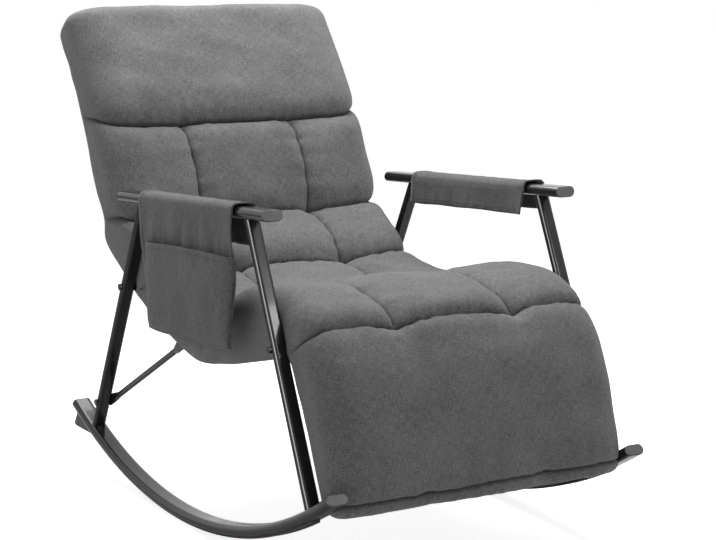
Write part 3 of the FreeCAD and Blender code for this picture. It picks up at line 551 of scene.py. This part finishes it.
def puff_cushion(grid, run, marks, ring_x, side, lift):
    """Rows swell between the creases, columns between the two long seams, and the cloth gathers at both.

    Also returned: how much painted shade each point gets in the creases and along the long seams, from 0 to
    1."""
    x = grid[:, :, 0]
    along = np.repeat(run[:, None], grid.shape[1], axis=1)
    along = along + folds(x, along, CREASE_DRIFT)
    bowed = bowed_run(along, ring_x, marks[FRONT_EDGE])
    edge = np.clip(lift, 0, 1) ** 1.5            # 0 at the cushion's edge, 1 on its faces

    columns = (np.clip((along - marks[HEAD_SEAM]) / COLUMN_START, 0, 1)
               * np.clip((marks[FRONT_EDGE] - bowed) / COLUMN_START, 0, 1))
    drift = ring_x[None, :] + folds(x * 0, along, SEAM_DRIFT)
    long_seam = np.minimum(np.abs(drift - COLUMN), np.abs(drift + COLUMN)) * COLUMN_SCALE
    column = COLUMN_DEPTH * (rounded(long_seam, COLUMN_REACH) - 1)
    column = column + COLUMN_SWELL * np.clip(long_seam / COLUMN_HALF, 0, 1)
    move = (row_heights(bowed, marks, float(run[-1])) + column * columns) * edge
    # Painted shade: a dark line down each long seam
    painted_shade = fades_softly(long_seam, SEAM_SHADE) * columns * edge

    near_crease = np.full_like(x, np.inf)
    for place, mark in marks.items():
        gap = np.abs(bowed - mark)
        near_crease = np.minimum(near_crease, gap)
        move -= EDGE_BITE * CREASES[place] * fades(gap, EDGE_BITE_REACH) * (1 - edge)
        move -= THREAD_DEPTH * fades_softly(gap, THREAD_REACH)
        move -= CROSSING_DEPTH * fades(np.hypot(gap, long_seam), CROSSING_REACH) * edge
        # Painted shade: a dark line along each crease
        painted_shade = np.maximum(painted_shade, fades_softly(gap, CREASE_SHADE))
    move += folds(x, along, GATHERS) * fades(near_crease, GATHER_REACH) * edge
    move += folds(x, along, TUCKS) * fades(long_seam, TUCK_REACH) * columns * edge
    move += (folds(x, along, SAGS) + folds(x, along, RIPPLES)) * edge
    move -= FOLD_DEPTH * fades(np.abs(along - marks[BACK_FOLD]), FOLD_REACH) * (1 - edge)

    in_front = side[None, :] > 0
    rear = folds(x, along, REAR_WAVES) * edge
    grid = grid + normals_of(grid) * np.where(in_front, move, rear)[:, :, None]
    return grid, np.where(in_front, painted_shade, 0.0)


def mesh_from_rings(name, grid, run, painted_shade, material):
    """A closed mesh over rings of points, with its cloth coordinates and the painted shade of its creases and
    seams.
    """
    rows, columns = grid.shape[:2]
    faces = []
    for i in range(rows - 1):
        for j in range(columns):
            k = (j + 1) % columns
            faces.append((i * columns + j, (i + 1) * columns + j, (i + 1) * columns + k, i * columns + k))
    faces.append(tuple(range(columns)))
    faces.append(tuple((rows - 1) * columns + j for j in reversed(range(columns))))
    mesh = bpy.data.meshes.new(name)
    mesh.from_pydata((grid.reshape(-1, 3) / MILLIMETRES).tolist(), [], faces)
    around = run_along(grid, axis=1)
    around = around - around[:, [columns // 3]]
    add_flat_map(mesh, around, np.repeat(run[:, None], columns, axis=1))
    # Painted shade of the creases and long seams, kept on each point for the cloth's colour
    mesh.attributes.new("painted_shade", "FLOAT", "POINT").data.foreach_set("value", painted_shade.ravel().astype(np.float32))
    return link_smooth(name, mesh, material)


def add_cushion(cloth):
    """The one-piece cushion, parted under the sitter's thighs because a piece can bend at one joint only."""
    grid, places, run, marks, ring_x, side, lift = cushion_grid()
    grid, painted_shade = puff_cushion(grid, run, marks, ring_x, side, lift)
    cut = int(np.argmin(np.abs(places - PARTING)))
    upper = mesh_from_rings("cushion_back_and_seat", grid[:cut + 1], run[:cut + 1], painted_shade[:cut + 1], cloth)
    lower = mesh_from_rings("cushion_front_and_foot", grid[cut:], run[cut:], painted_shade[cut:], cloth)
    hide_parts("head_pad", "back_pad", "seat_pad_rear", "seat_pad_middle")
    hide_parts("seat_pad_front", "foot_pad")
    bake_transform(upper)
    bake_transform(lower)


# The armrest covers and the pocket

# The armrests' place, as in the part's source
ARMREST_SIDE = 302.0                             # from the chair's middle to the armrest's
ARMREST_FRONT = (-380.0, 620.0)                  # (y, z) of the armrest's front end
ARMREST_SLOPE = math.radians(3.3)

COVER_HALF_WIDTH, COVER_HALF_HEIGHT = 22.6, 12.8
COVER_SLACK = 0.6                                # beside the tube
CLOTH_THICKNESS = 0.0026                         # metres
HANG_FREE = 60.0                                 # below the armrest, where cloth hangs fully free
NEAR_DROP, FAR_DROP = 236.0, 42.0                # of the outer sides, below the armrest's middle
NEAR_INNER_DROP, FAR_INNER_DROP = 62.0, 46.0
NEAR_SEED, FAR_SEED = 2.0, 6.0
FRONT_GAPE, FRONT_GAPE_REACH = 5.0, 16.0         # how far the open ends of a cover stand off
REAR_GAPE, REAR_GAPE_REACH = 2.5, 20.0

POCKET_MOUTH, POCKET_DIP = 76.0, 4.0             # below the armrest, and less in its middle
POCKET_LENGTH, POCKET_HEIGHT = 350.0, 160.0
POCKET_REAR = 447.0                              # along the armrest
POCKET_OUT, POCKET_BULGE = 6.6, 11.0             # outside the cover at its seams, and more in its middle

# Folds of the hanging cloth: height, own seed, and size across and along
HEM_WAVES = (2.0, 2, 60.0, 40.0)
SWINGS = (8.0, 0, 62.0, 150.0)
CRUMPLES = (2.4, 5, 21.0, 60.0)
TOP_ROLLS = (1.3, 9, 45.0, 60.0)
UNEVEN_HEM = (2.5, 3, 80.0, 1.0)
POCKET_WAVES = (2.4, 2.2, 60.0, 80.0)
POCKET_CRUMPLES = (0.8, 8.2, 18.0, 25.0)

STITCH_PITCH, STITCH_SHARE = 5.0, 0.72           # length of a stitch with its gap, and the thread's share
STITCH_RADIUS, STITCH_SIDES = 0.45, 6
STITCH_RISE, STITCH_DIP = 0.35, 0.5


def on_armrest(along, below, x):
    """A point beside the armrest: along it from its front end, and below its middle."""
    y = ARMREST_FRONT[0] + along * math.cos(ARMREST_SLOPE) - below * math.sin(ARMREST_SLOPE)
    z = ARMREST_FRONT[1] - along * math.sin(ARMREST_SLOPE) - below * math.cos(ARMREST_SLOPE)
    return np.stack([x + 0 * y, y, z], axis=-1)


def sheet_from_grid(name, grid, material):
    """A cloth sheet through a grid of points, thickened to both sides."""
    rows, columns = grid.shape[:2]
    mesh = bpy.data.meshes.new(name)
    faces = [(i * columns + j, i * columns + j + 1, (i + 1) * columns + j + 1, (i + 1) * columns + j)
             for i in range(rows - 1) for j in range(columns - 1)]
    mesh.from_pydata((grid.reshape(-1, 3) / MILLIMETRES).tolist(), [], faces)
    add_flat_map(mesh, run_along(grid, axis=1), run_along(grid, axis=0))
    piece = link_smooth(name, mesh, material)
    thick = piece.modifiers.new("thickness", "SOLIDIFY")
    thick.thickness = CLOTH_THICKNESS
    thick.offset = 0.0
    return piece


def grid_line(grid, row=None, column=None, flip=1.0):
    """A line of a sheet's grid, raised to its face, with the way out from the cloth."""
    lift, margin = 1.4, 2
    out = np.cross(np.gradient(grid, axis=0), np.gradient(grid, axis=1))
    out = flip * out / np.maximum(np.linalg.norm(out, axis=2, keepdims=True), 1e-9)
    inner = slice(margin, -margin)
    pick = (inner, column) if row is None else (row, inner)
    return grid[pick] + out[pick] * lift, out[pick]


def add_stitches(name, line, outward, thread):
    """A row of top stitches along a line: short threads that dip at both ends."""
    run = run_along(line)
    parts = (0.0, 0.3, 0.7, 1.0)
    vertices, faces = [], []
    for start in np.arange(0, run[-1] - STITCH_PITCH, STITCH_PITCH):
        first = len(vertices)
        for part in parts:
            at = start + STITCH_PITCH * STITCH_SHARE * part
            middle = np.array([np.interp(at, run, line[:, i]) for i in range(3)])
            ahead = np.array([np.interp(at + 1, run, line[:, i]) for i in range(3)]) - middle
            ahead /= np.linalg.norm(ahead)
            up = np.array([np.interp(at, run, outward[:, i]) for i in range(3)])
            across = np.cross(ahead, up)
            middle = middle + up * (STITCH_RISE if 0 < part < 1 else -STITCH_DIP)
            for turn in range(STITCH_SIDES):
                angle = turn * 2 * math.pi / STITCH_SIDES
                spoke = math.cos(angle) * across + math.sin(angle) * up
                vertices.append((middle + STITCH_RADIUS * spoke) / MILLIMETRES)
        for ring in range(len(parts) - 1):
            for turn in range(STITCH_SIDES):
                a = first + ring * STITCH_SIDES + turn
                b = first + ring * STITCH_SIDES + (turn + 1) % STITCH_SIDES
                faces.append((a, b, b + STITCH_SIDES, a + STITCH_SIDES))
        last = first + (len(parts) - 1) * STITCH_SIDES
        faces.append(tuple(first + i for i in reversed(range(STITCH_SIDES))))
        faces.append(tuple(last + i for i in range(STITCH_SIDES)))
    mesh = bpy.data.meshes.new(name)
    mesh.from_pydata([tuple(v) for v in vertices], [], faces)
    piece = link_smooth(name, mesh, thread)
    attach(piece, "chair")


def sew_edges(name, grid, side, test_column, edges, thread):
    """Rows of stitches near a sheet's edges, on its face away from the chair.

    The outward face is told by the sheet's direction at test_column. Edges name a row or a column each."""
    flip = side * np.sign(grid_line(grid, column=test_column)[1][:, 0].mean())
    for label, where in edges.items():
        line, out = grid_line(grid, flip=flip, **where)
        add_stitches(name + "_stitches_" + label, line, out, thread)


def over_armrest(inner_drop, outer_drop, step=5.0):
    """The cover's way over the tube as (out, below), from the inner hem over the top to the outer hem."""
    steps_over, spread = 19, 3
    half, top = COVER_HALF_WIDTH, COVER_HALF_HEIGHT
    up = [(-half - COVER_SLACK, b) for b in np.arange(inner_drop, 0, -step)]
    over = []
    for angle in np.linspace(math.pi, 0, steps_over):
        flat = (half - top) * np.sign(math.cos(angle)) * min(1, abs(math.cos(angle)) * spread)
        over.append((flat + top * math.cos(angle), -top * math.sin(angle)))
    down = [(half + COVER_SLACK, b) for b in np.arange(step, outer_drop + 0.1, step)]
    return np.array(up + over + down)


def straight_hem(at_top, at_bottom):
    """A cover's edge that moves evenly from one place along the armrest to another on its way down."""
    height = 235.0
    return lambda below: at_top + (at_bottom - at_top) * np.clip(below / height, 0, 1)


def near_front_hem(below):
    """The near cover's front edge, as a place along the armrest: it swings forward at the pocket's mouth."""
    start, height, reach = 10.0, 190.0, 17.0
    at_top, tuck_at_bottom = 100.0, 12.0
    swing = np.sin(math.pi * np.clip((below - start) / height, 0, 1)) ** 2
    return at_top - reach * swing + tuck_at_bottom * np.clip(below / NEAR_DROP, 0, 1) ** 3


def add_cover(name, side, material, thread, front_hem, rear_hem, inner_drop, outer_drop, seed):
    """Cloth laid over the armrest. Its sides hang free and wave a little. Its width laid flat is returned."""
    rows, rough_length = 76, 300.0
    clearance, gape_at_top = 1.0, 0.3
    way = over_armrest(inner_drop, outer_drop)
    share, below = np.meshgrid(np.linspace(0, 1, rows), way[:, 1], indexing="ij")
    out = np.repeat(way[None, :, 0], len(share), axis=0)
    hang = np.clip(below / HANG_FREE, 0, 1)
    front, rear = front_hem(below), rear_hem(below)
    along = front + (rear - front) * share + folds(share * rough_length, below, HEM_WAVES, seed) * hang
    swing = folds(along, below, SWINGS, seed) + folds(along, below, CRUMPLES, seed)
    gape = (FRONT_GAPE * fades(along - front, FRONT_GAPE_REACH)
            + REAR_GAPE * fades(rear - along, REAR_GAPE_REACH))
    out = out + np.sign(out) * (hang * (np.abs(swing) + clearance) + gape * (gape_at_top + hang))
    top_roll = np.abs(folds(along, out, TOP_ROLLS, seed) + gape * 0.5) + COVER_SLACK
    uneven = folds(along, along * 0, UNEVEN_HEM, seed) * hang
    below = below - np.where(below < 0, top_roll, 0) + uneven
    grid = on_armrest(along, below, side * ARMREST_SIDE + side * out)
    front_row, rear_row = 2, -3
    if side > 0:
        grid = grid[::-1]
        front_row, rear_row = rear_row, front_row
    piece = sheet_from_grid(name, grid, material)
    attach(piece, "chair")
    edges = {"front": {"row": front_row}, "rear": {"row": rear_row}, "outer": {"column": -3},
             "inner": {"column": 2}}
    sew_edges(name, grid, side, -3, edges, thread)
    return piece, round(float(run_along(way)[-1]) / MILLIMETRES, 3)


def add_pocket(material, thread):
    """The pocket's outer cloth: sewn to the cover's hanging side at both ends and below, open at the top."""
    rows, columns = 71, 36
    sag, ripple, ripples = 4.0, 2.0, 9.0             # of the bottom seam
    front_overlap, rear_slant, rear_bow = 2.0, 4.0, 3.0
    side_rounding, bottom_rounding = 34.0, 30.0
    share, deep = np.meshgrid(np.linspace(0, 1, rows), np.linspace(0, 1, columns), indexing="ij")
    mouth = POCKET_MOUTH - POCKET_DIP * (1 - np.abs(2 * share - 1) ** 2)
    bottom = NEAR_DROP + sag * np.sin(math.pi * share) + ripple * np.sin(share * ripples)
    below = mouth + (bottom - mouth) * deep
    front = near_front_hem(below) - front_overlap
    rear = POCKET_REAR + rear_slant * deep - rear_bow * np.sin(math.pi * deep)
    along = front + (rear - front) * share
    from_sides = rounded(np.minimum(share, 1 - share) * POCKET_LENGTH, side_rounding)
    from_bottom = rounded((1 - deep) * POCKET_HEIGHT, bottom_rounding)
    fullness = 0.55 + 0.45 * np.sin(math.pi * np.clip(deep * 0.8 + 0.1, 0, 1))
    waves = folds(along, below, POCKET_WAVES) + folds(along, below, POCKET_CRUMPLES)
    bulge = from_sides * from_bottom * (POCKET_BULGE * fullness + waves)
    out = COVER_HALF_WIDTH + COVER_SLACK + POCKET_OUT + bulge
    grid = on_armrest(along, below, -ARMREST_SIDE - out)
    piece = sheet_from_grid("pocket_front", grid, material)
    edges = {"mouth": {"column": 2}, "front": {"row": 1}, "rear": {"row": -2}, "bottom": {"column": -2}}
    sew_edges("pocket", grid, -1, 3, edges, thread)
    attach(piece, "chair")
    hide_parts("side_pocket")


def add_covers(cloth):
    thread = moulded_plastic("sewing_thread", (0.05, 0.05, 0.052), (0.12, 0.12, 0.125), 0.7)
    near, near_width = add_cover("armrest_cover_near", -1, cloth, thread, near_front_hem,
                                 straight_hem(488.0, 449.0), NEAR_INNER_DROP, NEAR_DROP, NEAR_SEED)
    far, far_width = add_cover("armrest_cover_far", 1, cloth, thread, straight_hem(96.0, 98.0),
                               straight_hem(487.0, 486.0), FAR_INNER_DROP, FAR_DROP, FAR_SEED)
    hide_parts("armrest_cover_right")
    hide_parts("armrest_cover_left")
    add_pocket(cloth, thread)


add_camera()
set_world()
add_floor()
for lamp in LAMPS:
    add_lamp(*lamp)
dress_cad_nodes()
add_cushion(linen("linen_grey", (0.062, 0.062, 0.064), (0.262, 0.262, 0.266), 0.0))
# The covers' copy of the linen is darker than the cushion's: painted shade, dimming the hanging covers
add_covers(linen("linen_cover", (0.040, 0.040, 0.0415), (0.166, 0.166, 0.170), 3.0))
